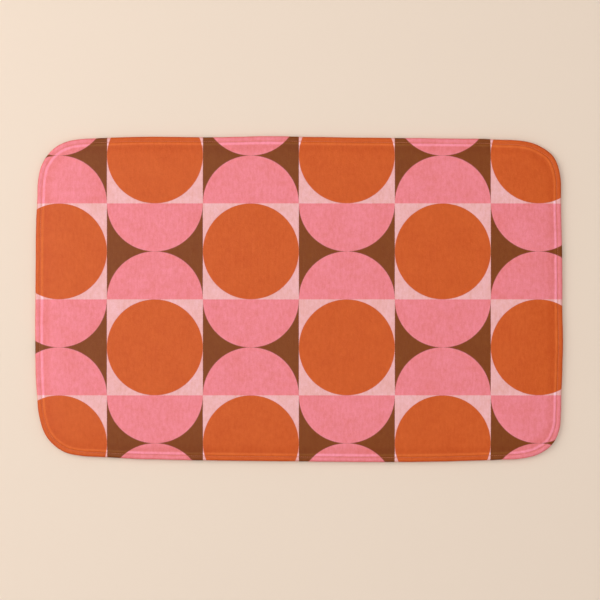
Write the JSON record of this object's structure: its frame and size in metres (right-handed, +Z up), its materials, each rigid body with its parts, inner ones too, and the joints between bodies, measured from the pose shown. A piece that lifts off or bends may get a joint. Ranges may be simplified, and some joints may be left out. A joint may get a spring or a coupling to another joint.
{
  "type": "bath mat",
  "caption": "Padded bath mat, a rounded rectangle with a printed plush face, a rolled topstitched edge and a dotted non-slip underside.",
  "frame": {"origin": "centre of the mat on the floor, level with the undersides of the grip dots", "axes": "+Z up from the floor, +X along the mat's length, +Y along its width towards the edge that has the label"},
  "size_m": [0.864, 0.532, 0.013],
  "materials": {
    "printed_plush": "short microfibre plush, matt, printed in orange, pink, pale pink and brown",
    "memory_foam": "open-cell slow-rebound polyurethane foam, matt",
    "backing": "plain woven polyester, matt",
    "grip": "soft vinyl with raised dots, satin",
    "seam_thread": "spun polyester sewing thread",
    "topstitch_thread": "spun polyester sewing thread, slight sheen",
    "bobbin_thread": "spun polyester sewing thread",
    "label": "woven satin, blank"
  },
  "bodies": {
    "root": {"face_cloth": "printed_plush", "foam_core": "memory_foam", "backing_cloth": "backing", "grip_sheet": "grip", "seam_thread": "seam_thread", "topstitch_needle_thread": "topstitch_thread", "topstitch_bobbin_thread": "bobbin_thread", "care_label": "label"}
  },
  "joints": []
}
